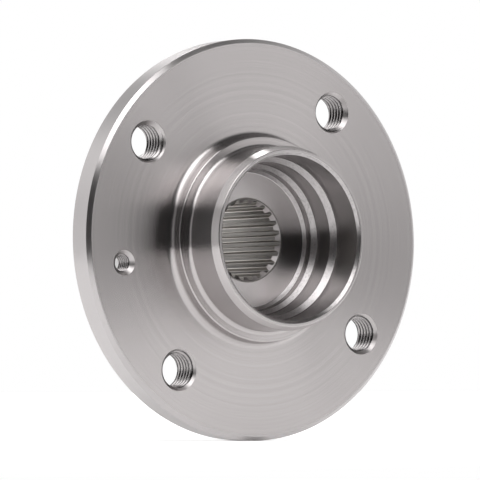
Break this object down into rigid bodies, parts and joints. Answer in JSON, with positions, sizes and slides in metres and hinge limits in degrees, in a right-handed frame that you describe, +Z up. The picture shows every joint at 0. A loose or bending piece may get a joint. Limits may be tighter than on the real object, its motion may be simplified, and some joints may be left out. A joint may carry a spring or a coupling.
{
  "type": "wheel hub bearing",
  "caption": "Flanged steel wheel hub with stepped pilots and a splined bore, turning in a sealed double-row ball bearing that presses into the steering knuckle.",
  "frame": {"origin": "where the hub's axis meets the flange's wheel-side face", "axes": "-Y along the hub's axis towards the wheel, +Y towards the car, +Z up, as mounted on the car"},
  "size_m": [0.1252, 0.0648, 0.1252],
  "materials": {
    "hub_steel": "turned and fine-brushed, bare",
    "bearing_steel": "ground",
    "ball_steel": "lapped and polished",
    "seal_steel": "pressed sheet",
    "seal_rubber": "moulded, satin",
    "cage_polymer": "moulded natural polyamide"
  },
  "bodies": {
    "knuckle_side": {"outer_ring": "bearing_steel", "seal_case_outboard": "seal_steel", "seal_case_inboard": "seal_steel", "seal_lip_outboard": "seal_rubber", "seal_lip_inboard": "seal_rubber"},
    "hub": {"hub_flange": "hub_steel", "inner_ring_outboard": "bearing_steel", "inner_ring_inboard": "bearing_steel", "slinger_outboard": "seal_steel", "slinger_inboard": "seal_steel"},
    "ball_set_outboard": {"cage_outboard": "cage_polymer", "ball_outboard_01": "ball_steel", "ball_outboard_02": "ball_steel", "ball_outboard_03": "ball_steel", "ball_outboard_04": "ball_steel", "ball_outboard_05": "ball_steel", "ball_outboard_06": "ball_steel", "ball_outboard_07": "ball_steel", "ball_outboard_08": "ball_steel", "ball_outboard_09": "ball_steel", "ball_outboard_10": "ball_steel", "ball_outboard_11": "ball_steel", "ball_outboard_12": "ball_steel", "ball_outboard_13": "ball_steel"},
    "ball_set_inboard": {"cage_inboard": "cage_polymer", "ball_inboard_01": "ball_steel", "ball_inboard_02": "ball_steel", "ball_inboard_03": "ball_steel", "ball_inboard_04": "ball_steel", "ball_inboard_05": "ball_steel", "ball_inboard_06": "ball_steel", "ball_inboard_07": "ball_steel", "ball_inboard_08": "ball_steel", "ball_inboard_09": "ball_steel", "ball_inboard_10": "ball_steel", "ball_inboard_11": "ball_steel", "ball_inboard_12": "ball_steel", "ball_inboard_13": "ball_steel"}
  },
  "joints": [
    {"name": "hub_spin", "type": "hinge", "parent": "knuckle_side", "child": "hub", "pos_m": [0, 0, 0], "axis": [0, 1, 0], "continuous": true},
    {"name": "outboard_orbit", "type": "hinge", "parent": "knuckle_side", "child": "ball_set_outboard", "pos_m": [0, 0.02058, 0], "axis": [0, 1, 0], "continuous": true},
    {"name": "inboard_orbit", "type": "hinge", "parent": "knuckle_side", "child": "ball_set_inboard", "pos_m": [0, 0.03442, 0], "axis": [0, 1, 0], "continuous": true}
  ],
  "couplings": [
    {"joint": "outboard_orbit", "follows": "hub_spin", "ratio": 0.41973},
    {"joint": "inboard_orbit", "follows": "hub_spin", "ratio": 0.41973}
  ]
}
